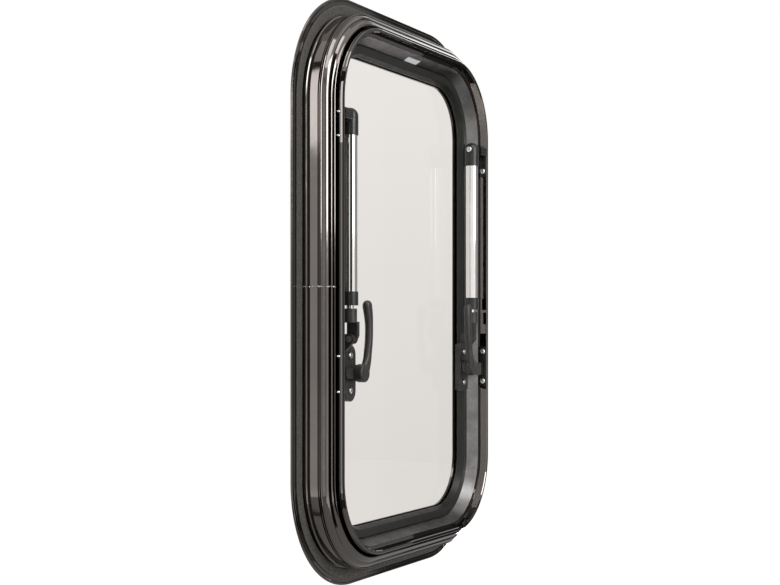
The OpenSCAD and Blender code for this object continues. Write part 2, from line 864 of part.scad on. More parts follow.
outer_frame();
flange_seal();
inner_ring();
sash_frame();
glass_pane();
glazing_bead();
sash_gasket();
hinge_frame_leaf();
hinge_sash_leaf();
hinge_pin();
stay_bracket(left);  // left_stay_bracket
bracket_screws(left);  // left_bracket_screws
stay_socket(left);  // left_stay_socket
stay_screw(left);  // left_stay_screw
stay_tube(left);  // left_stay_tube
stay_collar(left);  // left_stay_collar
stay_rod(left);  // left_stay_rod
stay_fork(left);  // left_stay_fork
fork_pin(left);  // left_fork_pin
latch_strap(left);  // left_latch_strap
latch_base(left);  // left_latch_base
latch_screws(left);  // left_latch_screws
latch_tongue(left);  // left_latch_tongue
latch_lever(left);  // left_latch_lever
keeper(left);  // left_keeper
keeper_screws(left);  // left_keeper_screws
sash_stop(left);  // left_sash_stop
stay_bracket(right);  // right_stay_bracket
bracket_screws(right);  // right_bracket_screws
stay_socket(right);  // right_stay_socket
stay_screw(right);  // right_stay_screw
stay_tube(right);  // right_stay_tube
stay_collar(right);  // right_stay_collar
stay_rod(right);  // right_stay_rod
stay_fork(right);  // right_stay_fork
fork_pin(right);  // right_fork_pin
latch_strap(right);  // right_latch_strap
latch_base(right);  // right_latch_base
latch_screws(right);  // right_latch_screws
latch_tongue(right);  // right_latch_tongue
latch_lever(right);  // right_latch_lever
keeper(right);  // right_keeper
keeper_screws(right);  // right_keeper_screws
sash_stop(right);  // right_sash_stop
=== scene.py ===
"""Looks of the caravan window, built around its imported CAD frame.

Lengths are in metres, or in millimetres where a comment says so."""

import json
import math
import random

import bmesh
import bpy
from mathutils import Matrix, Vector, noise


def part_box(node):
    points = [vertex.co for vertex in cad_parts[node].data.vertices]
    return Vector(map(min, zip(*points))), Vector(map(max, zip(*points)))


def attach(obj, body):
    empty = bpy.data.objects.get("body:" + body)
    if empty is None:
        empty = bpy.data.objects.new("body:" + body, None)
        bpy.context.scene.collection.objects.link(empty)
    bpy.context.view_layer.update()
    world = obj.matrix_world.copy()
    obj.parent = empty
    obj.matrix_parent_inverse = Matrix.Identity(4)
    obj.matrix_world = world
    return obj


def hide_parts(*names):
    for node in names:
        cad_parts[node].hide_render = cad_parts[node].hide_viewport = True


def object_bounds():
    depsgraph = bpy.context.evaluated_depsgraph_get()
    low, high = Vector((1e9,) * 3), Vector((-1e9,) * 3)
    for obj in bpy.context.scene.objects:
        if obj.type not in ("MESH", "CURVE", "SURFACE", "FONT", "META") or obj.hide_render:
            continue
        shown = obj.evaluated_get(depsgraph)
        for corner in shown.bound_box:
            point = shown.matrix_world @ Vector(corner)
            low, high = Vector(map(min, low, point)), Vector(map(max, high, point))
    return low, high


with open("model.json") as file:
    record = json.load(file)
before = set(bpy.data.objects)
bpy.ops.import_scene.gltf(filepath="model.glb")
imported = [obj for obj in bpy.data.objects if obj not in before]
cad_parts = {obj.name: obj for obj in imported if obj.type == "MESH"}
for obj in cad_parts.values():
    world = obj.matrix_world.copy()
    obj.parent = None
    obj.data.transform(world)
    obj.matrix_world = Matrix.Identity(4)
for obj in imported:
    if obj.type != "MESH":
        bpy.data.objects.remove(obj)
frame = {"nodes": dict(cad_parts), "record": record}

CAD_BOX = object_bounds()
MM = 0.001
NODES = frame["nodes"]
SIDES = {"left": -1, "right": 1}

# The photo's camera, as seen from the middle of the window
VIEW_AZIMUTH = math.radians(62.32)
VIEW_DISTANCE = 1645.3 * MM
VIEW_ASIDE = 3.07 * MM
VIEW_BELOW = 43.84 * MM
VIEW_LENS = 64.48
SENSOR_WIDTH = 36
HORIZON_SHIFT = 0.04995

# How far the floor lies under the window, which hangs in a wall
FLOOR_DROP = 0.6
FLOOR_SIZE = 14.0

# How strongly the white studio lights the object, and how much the floor glows where it is seen
WORLD_LIGHT = 0.5
FLOOR_GLOW = 0.55

# Lamps: azimuth and distance from the window's middle, rise per distance, width and height,
# and watts
LAMPS = {
    "key": (262, 2.2, 0.42, (0.7, 1.5), 30),
    "side": (154, 2.2, 0.52, (1.0, 1.5), 13),
    "top": (230, 1.0, 1.8, (1.2, 1.2), 14),
    "far_high": (10, 1.8, 0.56, (1.1, 0.5), 1.8),
    "far_low": (1, 1.1, -0.54, (0.5, 0.1), 1.6),
}

# Upright cards: their two ends on the floor plan, lower and upper edge, and how much they glow
UPRIGHT_CARDS = {
    "flag_left": ((-0.253, -0.211), (-1.61, -0.845), -0.6, 1.4, 0.0),
    "flag_right": ((-0.72, 0.325), (-0.82, 0.52), -0.6, 1.4, 0.06),
    "flag_room": ((0.909, -0.512), (0.3, -1.6), -0.6, 1.6, 0.33),
    "flag_wall": ((1.07, -0.225), (0.909, -0.512), -0.6, 1.6, 0.05),
}

# Level cards: their middle on the floor plan, half their width, their height, and their glow
LEVEL_CARDS = {
    "flag_low": ((0.0, 0.0), 1.6, -0.55, 0.42),
    "flag_high": ((0.6, 0.6), 0.9, 1.7, 0.5),
}

# The outline that every extrusion follows, in millimetres, with the steps of its mesh on the
# straight runs, also in millimetres, and in each corner
HALF_WIDTH = 225
HALF_HEIGHT = 325
CORNER_RADIUS = 125
STRAIGHT_STEP = 100
FRAME_CORNER_STEPS = 48
BEAD_CORNER_STEPS = 40

# Profiles as inset from the flange's edge and depth into the caravan, in millimetres
FRAME_BACK = [
    (33.2, 33.1), (33.2, 31.2), (31.4, 31.2), (29.1, 28.2), (25.1, 26.1), (21.5, 22.4), (21.5, 0.0),
    (44.5, 0.0), (44.5, -2.5), (0.8, -2.5), (0.2, -2.1), (0.0, -1.5),
]
FRAME_FACE = [
    (0.0, -1.0), (0.1, -0.6), (0.35, -0.3), (0.8, -0.08), (1.3, 0.0), (2.6, 0.0), (2.8, -0.1),
    (3.1, -0.8), (3.5, -0.8), (3.75, -0.1), (4.0, 0.0), (18.9, 0.0), (20.2, 0.25), (20.2, 3.9),
    (19.5, 4.5), (19.4, 4.8), (20.3, 5.45), (20.5, 5.9), (20.3, 7.0), (19.9, 8.4), (19.4, 9.6),
    (19.3, 10.2), (19.7, 18.9), (20.9, 19.0), (19.8, 20.5), (19.8, 21.0), (20.9, 21.1),
    (19.9, 22.8), (19.9, 23.1), (20.3, 23.38), (21.5, 23.75), (23.2, 26.7), (23.55, 26.98),
    (23.95, 27.3), (24.4, 27.6), (24.9, 27.93), (25.45, 28.25), (25.9, 28.42), (27.0, 28.4),
    (28.7, 30.4), (29.3, 30.82), (30.3, 31.6), (31.5, 32.9), (31.9, 33.15), (32.9, 33.2),
]
BEAD_BACK = [(52.8, 17.0), (52.8, 11.0), (56.0, 11.0), (56.0, 9.0), (65.0, 9.0)]
BEAD_FRONT = [(61.2, 17.4), (53.4, 17.4)]
BEAD_SLOPE = [(65.0, 9.6), (62.0, 17.0)]
BEAD_RIBS = 4
RIB_DEPTH = 0.6

# One rib of the bead: places as shares of its pitch, and 1 where the slope is cut in
RIB_SHAPE = [(0.1, 0), (0.55, 0), (0.75, 1), (0.95, 1)]

# The slope of the inner ring's reveal, in the same measures as the profiles
REVEAL_SLOPE = [(44.8, 29.4), (52.3, 16.5)]

# The foam strip, in millimetres: its edges, how far its foot stands in from them and off the
# flange, its depth, how far its grains rise, and its mesh; its depth as shares at the edge,
# beside the edge and elsewhere; and grains per metre
FOAM_INSETS = (7.9, 19.1)
FOAM_FOOT = 0.2
FOAM_LIFT = 0.02
FOAM_DEPTH = 1.7
FOAM_LEAST = 0.3
FOAM_ROUGH = 0.28
FOAM_STEP = 1.2
FOAM_CORNER_STEPS = 150
FOAM_COLUMNS = 12
FOAM_SHARES = (0.45, 0.86, 0.95)
FOAM_GRAINS = (900, 2100)

# The frame's seam: its height over the middle, the point of the frame's face where it starts,
# and the share of burrs that are coarse; then in millimetres how far apart the burrs are,
# how far they stand out, how thick they are and how deep they are rooted
JOINT_HEIGHT = 3 * MM
JOINT_START = 9
COARSE_SHARE = 0.45
BURR_SPACING = 0.7
COARSE_PROUD = (0.3, 0.9)
COARSE_THICK = (0.4, 1.3)
FINE_PROUD = 0.08
FINE_THICK = 0.2
BURR_ROOT = 0.15

# Stations along a lever, in millimetres: inboard and height from the hub's axis,
# half the width, half the thickness, and how far the front lies behind the deepest face
LEVER_STATIONS = [
    (2.0, 1.0, 7.4, 3.8, 0.0),
    (7.5, 12.3, 5.7, 3.9, 0.0),
    (9.7, 21.0, 4.9, 4.0, 0.0),
    (12.4, 36.2, 4.5, 4.1, 0.0),
    (13.2, 50.7, 4.6, 4.1, 0.2),
    (12.6, 63.0, 5.5, 4.4, 0.4),
    (11.1, 72.4, 6.2, 4.6, 0.7),
]

# A lever's deepest face, its hub as radius and depth, and the hub's axis as distance from the
# window's middle and height over the origin, in millimetres
LEVER_FRONT = 42.95
HUB_OUTLINE = [(0.1, 32.45), (9.2, 32.45), (9.9, 33.2), (9.9, 41.0), (9.0, 41.9), (0.1, 41.9)]
HUB_AXIS = (142.3, 232.3)

# The arm's section, from 1 for an ellipse towards 0 for a box, how slowly it thins at the tip,
# and the meshes of hub, arm and tip
SECTION_POWER = 0.8
TIP_POWER = 0.7
HUB_POINTS = 72
LEVER_POINTS = 32
LEVER_STEPS = 8
TIP_RINGS = 7

# The mesh that melts a lever's hub and arm together, and how often it is smoothed
SKIN_VOXEL = 0.45 * MM
SKIN_ROUNDS = 14

# Screw heads as radius and height, the radii of their shanks, and the pitch of their threads;
# the stop's screw has its length, its height over the stop's lower end and its gap from the stop
JAMB_HEAD = (3.45 * MM, 1.75 * MM)
LATCH_HEAD = (3.4 * MM, 1.75 * MM)
STOP_HEAD = (2.2 * MM, 1.0 * MM)
JAMB_SHANK = 1.45 * MM
STAY_SHANK = 2.4 * MM
STOP_SHANK = 1.2 * MM
PITCH = 1.1 * MM
FINE_PITCH = 0.8 * MM
STOP_SHANK_LENGTH = 3.0 * MM
STOP_SCREW_HEIGHT = 4.2 * MM
STOP_GAP = 0.02 * MM

# How much shorter than its CAD node a screw is, and the meshes of heads and shanks
END_GAP = 0.05 * MM
HEAD_POINTS = 64
HEAD_RINGS = 19
SHANK_POINTS = 20

# The cup under a latch screw, as radius and height in millimetres
CUP_OUTLINE = [(3.5, 0.0), (4.9, 0.0), (4.7, 0.35), (3.9, 0.45), (3.5, 0.2)]
CUP_POINTS = 48

# The blank label on the top reveal; its depth into the caravan is in millimetres
LABEL_DEPTH = 20.2
LABEL_ASIDE = 11 * MM
LABEL_HALF_WIDTH = 15.5 * MM
LABEL_HALF_HEIGHT = 3.6 * MM
LABEL_CORNER = 0.9 * MM
LABEL_CORNER_STEPS = 6
LABEL_FACES = (0.01 * MM, 0.14 * MM)


def middle():
    """The middle of the window's flange, on its wall side."""
    low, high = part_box("outer_frame")
    return Vector((0, 0, (low.z + high.z) / 2))


MIDDLE = middle()


class Shader:
    """A material whose nodes are added by short calls."""

    def __init__(self, name):
        self.material = bpy.data.materials.new(name)
        self.material.use_nodes = True
        self.tree = self.material.node_tree
        self.surface = self.tree.nodes["Principled BSDF"]

    def set(self, **values):
        """Sets inputs of the surface by name, with _ for each space."""
        for name, value in values.items():
            self.surface.inputs[name.replace("_", " ")].default_value = value

    def node(self, kind, **values):
        """A new node; the values are its inputs or its settings."""
        node = self.tree.nodes.new(kind)
        for name, value in values.items():
            if name in node.inputs:
                node.inputs[name].default_value = value
            else:
                setattr(node, name, value)
        return node

    def link(self, source, target):
        """Joins an output to an input."""
        self.tree.links.new(source, target)

    def position(self, scale=(1, 1, 1)):
        """Object coordinates in metres, stretched by scale."""
        coordinates = self.node("ShaderNodeTexCoord")
        mapping = self.node("ShaderNodeMapping")
        mapping.inputs["Scale"].default_value = scale
        self.link(coordinates.outputs["Object"], mapping.inputs["Vector"])
        return mapping.outputs["Vector"]

    def along(self, axis):
        """One object coordinate in metres."""
        split = self.node("ShaderNodeSeparateXYZ")
        self.link(self.position(), split.inputs[0])
        return split.outputs[axis]

    def noise(self, size, detail=3.0, roughness=0.5, stretch=(1, 1, 1)):
        """Noise whose grains are about size metres across."""
        grain = self.node("ShaderNodeTexNoise", Scale=1 / size, Detail=detail, Roughness=roughness)
        self.link(self.position(stretch), grain.inputs["Vector"])
        return grain.outputs["Fac"]

    def ramp(self, value, low, high, from_value=0.3, to_value=0.7):
        """Maps a value to a number between low and high."""
        span = self.node("ShaderNodeMapRange")
        span.inputs["From Min"].default_value = from_value
        span.inputs["From Max"].default_value = to_value
        span.inputs["To Min"].default_value = low
        span.inputs["To Max"].default_value = high
        self.link(value, span.inputs["Value"])
        return span.outputs["Result"]

    def combine(self, one, other, operation):
        """Adds or multiplies two values."""
        joined = self.node("ShaderNodeMath", operation=operation)
        self.link(one, joined.inputs[0])
        self.link(other, joined.inputs[1])
        return joined.outputs[0]

    def colours(self, value, dark, light, low=0.3, high=0.7):
        """Mixes two colours by a value."""
        ramp = self.node("ShaderNodeValToRGB")
        ramp.color_ramp.elements[0].position = low
        ramp.color_ramp.elements[0].color = (*dark, 1)
        ramp.color_ramp.elements[1].position = high
        ramp.color_ramp.elements[1].color = (*light, 1)
        self.link(value, ramp.inputs["Fac"])
        self.link(ramp.outputs["Color"], self.surface.inputs["Base Color"])

    def roughness(self, value, low, high):
        """Varies the roughness between low and high by a value."""
        self.link(self.ramp(value, low, high), self.surface.inputs["Roughness"])

    def bump(self, value, depth, strength=1.0, edge=0.0):
        """Raises the surface by up to depth metres, and rounds its edges by edge metres."""
        bump = self.node("ShaderNodeBump")
        bump.inputs["Strength"].default_value = strength
        bump.inputs["Distance"].default_value = depth
        self.link(value, bump.inputs["Height"])
        if edge:
            bevel = self.node("ShaderNodeBevel", samples=4)
            bevel.inputs["Radius"].default_value = edge
            self.link(bevel.outputs["Normal"], bump.inputs["Normal"])
        self.link(bump.outputs["Normal"], self.surface.inputs["Normal"])


def bronze_metal():
    """Glossy anodised extrusion, dark bronze."""
    shader = Shader("bronze_metal")
    shader.set(Metallic=1.0)
    shader.colours(shader.noise(60 * MM), (0.15, 0.135, 0.127), (0.175, 0.16, 0.15))
    shader.roughness(shader.noise(8 * MM), 0.06, 0.11)
    return shader.material


def satin_bronze():
    """The inner ring: glossy like the rest, but satin, paler and mottled on the reveal's slope."""
    shader = Shader("satin_bronze")
    shader.set(Metallic=1.0)
    depth = shader.along("Y")
    front, back = (-d * MM for _, d in REVEAL_SLOPE)
    edge = 0.15 * MM
    inside = shader.combine(
        shader.ramp(depth, 0, 1, front + edge, front + 2 * edge),
        shader.ramp(depth, 1, 0, back - 2 * edge, back - edge), "MULTIPLY")
    mottle = shader.noise(1.8 * MM, detail=6, roughness=0.65)
    cloud = shader.ramp(shader.noise(22 * MM, detail=2), 0, 1)
    patches = shader.combine(shader.ramp(mottle, 0.15, 0.75), cloud, "MULTIPLY")
    dusty = shader.combine(inside, patches, "MULTIPLY")
    shader.colours(dusty, (0.155, 0.142, 0.134), (0.32, 0.34, 0.36), 0.0, 1.0)
    worn = shader.ramp(mottle, 0.22, 0.42)
    gloss = shader.ramp(shader.noise(8 * MM), 0.0, 0.04)
    rough = shader.combine(shader.combine(inside, worn, "MULTIPLY"), gloss, "ADD")
    shader.link(rough, shader.surface.inputs["Roughness"])
    return shader.material


def foam_seal():
    """Grainy closed-cell foam strip."""
    shader = Shader("foam_seal")
    grain = shader.noise(1.1 * MM, detail=4, roughness=0.7)
    shader.colours(grain, (0.022, 0.021, 0.019), (0.12, 0.115, 0.105))
    shader.set(Roughness=0.9, Specular_IOR_Level=0.25)
    shader.bump(shader.noise(0.5 * MM, detail=4, roughness=0.7), 0.3 * MM, 0.9)
    return shader.material


def tinted_glass():
    """Lightly tinted pane that mirrors little, with painted shade that darkens its colour towards
    the bottom.
    """
    shader = Shader("tinted_glass")
    shader.set(Roughness=0.0, IOR=1.12, Transmission_Weight=1.0, Specular_IOR_Level=0.04)
    low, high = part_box("glass_pane")
    height = shader.ramp(shader.along("Z"), 0, 1, low.z, high.z)
    # Painted shade: the pane's colour runs from lighter at the top to darker at the bottom,
    # standing in for how the studio's light falls on it
    shader.colours(height, (0.72, 0.695, 0.67), (0.835, 0.805, 0.778), 0.0, 1.0)
    return shader.material


def black_rubber():
    """Soft black rubber with fine dust."""
    shader = Shader("black_rubber")
    grain = shader.noise(1.5 * MM, detail=4)
    shader.colours(grain, (0.007, 0.007, 0.006), (0.02, 0.02, 0.017))
    shader.roughness(shader.noise(12 * MM), 0.28, 0.4)
    shader.bump(grain, 0.03 * MM, 0.4)
    return shader.material


def chrome_tube():
    """Polished chromed tube."""
    shader = Shader("chrome_tube")
    shader.set(Metallic=1.0)
    shader.colours(shader.noise(30 * MM), (0.78, 0.76, 0.73), (0.84, 0.82, 0.8))
    shader.roughness(shader.noise(3 * MM, stretch=(1, 1, 0.05)), 0.05, 0.1)
    return shader.material


def bright_steel():
    """Bright plated steel of screws and pins."""
    shader = Shader("bright_steel")
    shader.set(Metallic=1.0)
    shader.colours(shader.noise(2 * MM), (0.66, 0.66, 0.65), (0.82, 0.82, 0.82))
    shader.roughness(shader.noise(1.2 * MM), 0.16, 0.3)
    return shader.material


def plastic(name, dark, light, rough):
    """Moulded plastic with a fine eroded grain and softened edges."""
    shader = Shader(name)
    shader.colours(shader.noise(9 * MM, detail=5), dark, light)
    shader.roughness(shader.noise(2 * MM), rough - 0.06, rough + 0.08)
    shader.bump(shader.noise(0.45 * MM, detail=2), 0.03 * MM, 0.5, edge=0.45 * MM)
    return shader.material


def blank_paper():
    """White film of the blank label, faintly uneven."""
    shader = Shader("blank_paper")
    shader.colours(shader.noise(4 * MM), (0.74, 0.75, 0.76), (0.8, 0.81, 0.82))
    shader.roughness(shader.noise(2 * MM), 0.3, 0.42)
    return shader.material


def make_materials():
    """One material for each slot of the record."""
    black = (0.008, 0.008, 0.0075), (0.018, 0.018, 0.017)
    charcoal = (0.018, 0.0172, 0.016), (0.034, 0.0325, 0.03)
    return {
        "bronze_metal": bronze_metal(),
        "foam_seal": foam_seal(),
        "tinted_glass": tinted_glass(),
        "black_rubber": black_rubber(),
        "chrome_tube": chrome_tube(),
        "bright_steel": bright_steel(),
        "black_plastic": plastic("black_plastic", *black, 0.32),
        "charcoal_plastic": plastic("charcoal_plastic", *charcoal, 0.42),
    }


def dress_nodes():
    """Gives every CAD node the material of its slot, and the inner ring its own."""
    slots = {part["node"]: part["material_slot"] for part in frame["record"]["subparts"]}
    for name, node in NODES.items():
        node.data.materials.clear()
        node.data.materials.append(MATERIALS[slots[name]])
    NODES["inner_ring"].data.materials[0] = satin_bronze()


def add_piece(name, shape, body, slot, *nodes, crease=35, material=None):
    """Makes a bmesh a piece that rides on a body and stands for the nodes given."""
    bmesh.ops.recalc_face_normals(shape, faces=shape.faces)
    mesh = bpy.data.meshes.new(name)
    shape.to_mesh(mesh)
    shape.free()
    mesh.shade_smooth()
    mesh.set_sharp_from_angle(angle=math.radians(crease))
    mesh.materials.append(material or MATERIALS[slot])
    piece = bpy.data.objects.new(name, mesh)
    bpy.context.scene.collection.objects.link(piece)
    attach(piece, body)
    if nodes:
        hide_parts(*nodes)
    return piece


def skin(shape, rings, place=None, loop=False):
    """Lays quads over closed rings with as many points each; loop joins the last to the first."""
    place = place or Matrix()
    rows = [[shape.verts.new(place @ Vector(point)) for point in ring] for ring in rings]
    pairs = list(zip(rows, rows[1:])) + ([(rows[-1], rows[0])] if loop else [])
    count = len(rows[0])
    for one, other in pairs:
        for i in range(count):
            j = (i + 1) % count
            shape.faces.new((one[i], one[j], other[j], other[i]))
    if not loop:
        shape.faces.new(rows[0])
        shape.faces.new(rows[-1])


def turns(points):
    """Angles spread evenly over a full turn."""
    return [2 * math.pi * i / points for i in range(points)]


def circle(radius, height, points):
    """A ring round local Z."""
    return [(radius * math.cos(a), radius * math.sin(a), height) for a in turns(points)]


def outline_stations(spacing, corner_steps):
    """Stations round the window: each a corner's centre, or a point between two, and a way out."""
    flat_x = HALF_WIDTH - CORNER_RADIUS
    flat_z = HALF_HEIGHT - CORNER_RADIUS
    upper = [(flat_x, flat_z, 0), (-flat_x, flat_z, 90)]
    lower = [(-flat_x, -flat_z, 180), (flat_x, -flat_z, 270)]
    corners = upper + lower
    stations = []
    for index, (x, z, start) in enumerate(corners):
        for step in range(corner_steps + 1):
            angle = math.radians(start + 90 * step / corner_steps)
            stations.append((x, z, math.cos(angle), math.sin(angle)))
        next_x, next_z, _ = corners[(index + 1) % 4]
        run = abs(next_x - x) + abs(next_z - z)
        steps = max(1, round(run / spacing))
        out = stations[-1][2:]
        for step in range(1, steps):
            share = step / steps
            stations.append((x + (next_x - x) * share, z + (next_z - z) * share, *out))
    return stations


def on_outline(station, inset, depth):
    """The place of a point of an outline at a station."""
    x, z, out_x, out_z = station
    reach = CORNER_RADIUS - inset
    return Vector(((x + out_x * reach) * MM, -depth * MM, MIDDLE.z + (z + out_z * reach) * MM))


def extrude(profile, corner_steps):
    """A closed ring round the window with a profile of insets and depths."""
    shape = bmesh.new()
    rings = [[on_outline(station, *point) for point in profile]
             for station in outline_stations(STRAIGHT_STEP, corner_steps)]
    skin(shape, rings, loop=True)
    return shape


def outer_frame():
    """The outer extrusion, with the fine grooves and rounded edges of its face."""
    shape = extrude(FRAME_BACK + FRAME_FACE, FRAME_CORNER_STEPS)
    add_piece("outer_frame_profiled", shape, "root", "bronze_metal", "outer_frame", crease=11)


def ribbed_bead():
    """The glazing bead, with fine ribs along its slope."""
    (inset_a, depth_a), (inset_b, depth_b) = BEAD_SLOPE
    length = math.hypot(inset_b - inset_a, depth_b - depth_a)
    into = ((depth_a - depth_b) / length * RIB_DEPTH, (inset_b - inset_a) / length * RIB_DEPTH)
    ribs = []
    for rib in range(BEAD_RIBS):
        for part, sink in RIB_SHAPE:
            share = (rib + part) / BEAD_RIBS
            ribs.append((inset_a + (inset_b - inset_a) * share + into[0] * sink,
                         depth_a + (depth_b - depth_a) * share + into[1] * sink))
    profile = BEAD_BACK + [BEAD_SLOPE[0]] + ribs + [BEAD_SLOPE[1]] + BEAD_FRONT
    shape = extrude(profile, BEAD_CORNER_STEPS)
    add_piece("glazing_bead_ribbed", shape, "root", "black_rubber", "glazing_bead", crease=25)


def foam_strip():
    """The flange's foam strip, its skin raised in grains."""
    low, high = FOAM_INSETS
    coarse, fine = FOAM_GRAINS
    rings = []
    for station in outline_stations(FOAM_STEP, FOAM_CORNER_STEPS):
        feet = low + FOAM_FOOT, high - FOAM_FOOT
        ring = [on_outline(station, inset, FOAM_LIFT) for inset in feet]
        for column in range(FOAM_COLUMNS + 1):
            share = column / FOAM_COLUMNS
            inset = high + (low - high) * share
            edge = min(share, 1 - share) * FOAM_COLUMNS
            flat = on_outline(station, inset, 0)
            grain = noise.noise(flat * coarse) + 0.5 * noise.noise(flat * fine)
            depth = FOAM_DEPTH * FOAM_SHARES[min(int(edge), 2)] + grain * FOAM_ROUGH
            depth = max(FOAM_LEAST, min(depth, FOAM_DEPTH + FOAM_ROUGH))
            ring.append(on_outline(station, inset, depth))
        rings.append(ring)
    shape = bmesh.new()
    skin(shape, rings, loop=True)
    add_piece("flange_seal_foam", shape, "root", "foam_seal", "flange_seal", crease=60)


def screw_head(shape, place, radius, height):
    """A pan head with a cross recess; its foot lies at local Z = 0."""
    foot = [(0.01 * radius, 0), (radius, 0), (radius, 0.35 * height)]
    rings = [circle(reach, rise, HEAD_POINTS) for reach, rise in foot]
    rim = 0.4
    recess = 0.6 * height
    slot_half, slot_end = 0.15 * radius, 0.58 * radius
    side_width, end_width = 0.08 * radius, 0.1 * radius
    for step in range(1, HEAD_RINGS + 1):
        share = 1 - step / (HEAD_RINGS + 0.5)
        crown = height * (rim + (1 - rim) * (1 - share ** 2.6) ** 0.7)
        ring = []
        for x, y, _ in circle(share * radius, 0, HEAD_POINTS):
            near, far = sorted((abs(x), abs(y)))
            beside = max(0, min(1, (slot_half - near) / side_width))
            along = max(0, min(1, (slot_end - far) / end_width))
            ring.append((x, y, crown - recess * (beside * along)))
        rings.append(ring)
    skin(shape, rings, place)


def screw_shank(shape, place, radius, length, pitch=PITCH):
    """A threaded shank from local Z = 0 down to a blunt point."""
    tip = 2.2 * MM
    cut = 0.22 * radius
    ring_spacing = 0.16 * MM
    steps = max(8, round(length / ring_spacing))
    rings = []
    for step in range(steps + 1):
        height = -length * step / steps
        taper = min(1, 0.2 + 0.8 * (length + height) / tip)
        ring = []
        for i, angle in enumerate(turns(SHANK_POINTS)):
            phase = (height / pitch + i / SHANK_POINTS) % 1
            reach = (radius - cut * min(1, abs(phase - 0.5) * 3)) * taper
            ring.append((reach * math.cos(angle), reach * math.sin(angle), height))
        rings.append(ring)
    skin(shape, rings, place)


def facing(place, way, spin=0.0):
    """A matrix that puts local Z along way, at place, turned by spin about it."""
    turned = Vector(way).to_track_quat("Z", "Y").to_matrix().to_4x4()
    return Matrix.Translation(place) @ turned @ Matrix.Rotation(spin, 4, "Z")


def any_turn(draw):
    """A random turn of a screw's cross."""
    return draw.uniform(0, math.pi / 2)


def jamb_screws(side, kind, pair, shank, seed):
    """Detailed screws along X for one node; pair says whether it holds two."""
    node = f"{side}_{kind}"
    low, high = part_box(node)
    sign = SIDES[side]
    inner = low.x if sign > 0 else high.x
    outer = high.x if sign > 0 else low.x
    radius = (high.y - low.y) / 2
    heights = [low.z + radius, high.z - radius] if pair else [(low.z + high.z) / 2]
    draw = random.Random(seed)
    shape = bmesh.new()
    for height in heights:
        foot = Vector((inner + sign * JAMB_HEAD[1], (low.y + high.y) / 2, height))
        place = facing(foot, (-sign, 0, 0), any_turn(draw))
        screw_head(shape, place, *JAMB_HEAD)
        screw_shank(shape, place, shank, abs(outer - foot.x) - END_GAP)
    add_piece(f"{node}_cross", shape, "root", "bright_steel", node, crease=40)


def latch_screws(side, seed):
    """The two screws of a latch base, each in a dark cup."""
    node = f"{side}_latch_screws"
    low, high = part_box(node)
    radius = (high.x - low.x) / 2
    draw = random.Random(seed)
    shape = bmesh.new()
    cups = bmesh.new()
    for height in (low.z + radius, high.z - radius):
        foot = Vector(((low.x + high.x) / 2, low.y + LATCH_HEAD[1], height))
        place = facing(foot, (0, -1, 0), any_turn(draw))
        screw_head(shape, place, *LATCH_HEAD)
        screw_shank(shape, place, JAMB_SHANK, high.y - foot.y - END_GAP)
        skin(cups, [[(r * MM * math.cos(a), r * MM * math.sin(a), h * MM) for r, h in CUP_OUTLINE]
                    for a in turns(CUP_POINTS)], place, loop=True)
    add_piece(f"{node}_cross", shape, "root", "bright_steel", node, crease=40)
    add_piece(f"{side}_latch_screw_cups", cups, "root", "black_plastic")


def stop_screw(side, seed):
    """The small screw in the lower end of a stop leaf."""
    low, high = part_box(f"{side}_sash_stop")
    foot = Vector(((low.x + high.x) / 2, low.y - STOP_GAP, low.z + STOP_SCREW_HEIGHT))
    place = facing(foot, (0, -1, 0), any_turn(random.Random(seed)))
    shape = bmesh.new()
    screw_head(shape, place, *STOP_HEAD)
    screw_shank(shape, place, STOP_SHANK, STOP_SHANK_LENGTH, FINE_PITCH)
    add_piece(f"{side}_sash_stop_screw", shape, "root", "bright_steel", crease=40)


def through(stations, steps):
    """A smooth curve through stations, with steps between two of them."""
    curve = []
    last = len(stations) - 1
    for index in range(last):
        before = stations[max(index - 1, 0)]
        one, other = stations[index], stations[index + 1]
        after = stations[min(index + 2, last)]
        for step in range(steps + (index == last - 1)):
            t = step / steps
            curve.append([0.5 * (2 * b + (c - a) * t + (2 * a - 5 * b + 4 * c - d) * t * t
                                 + (3 * b - a - 3 * c + d) * t ** 3)
                          for a, b, c, d in zip(before, one, other, after)])
    return curve


def lever_ring(station, ahead, squeeze=1.0):
    """A rounded section of the lever across its run; ahead is the run's direction."""
    across = Vector((ahead.y, -ahead.x))
    centre_x, centre_z, wide, thick, sink = station
    ring = []
    for angle in turns(LEVER_POINTS):
        c, s = math.cos(angle), math.sin(angle)
        u = wide * squeeze * math.copysign(abs(c) ** SECTION_POWER, c)
        v = thick * squeeze ** TIP_POWER * math.copysign(abs(s) ** SECTION_POWER, s)
        depth = LEVER_FRONT - sink - thick + v
        ring.append((centre_x + across.x * u, depth, centre_z + across.y * u))
    return ring


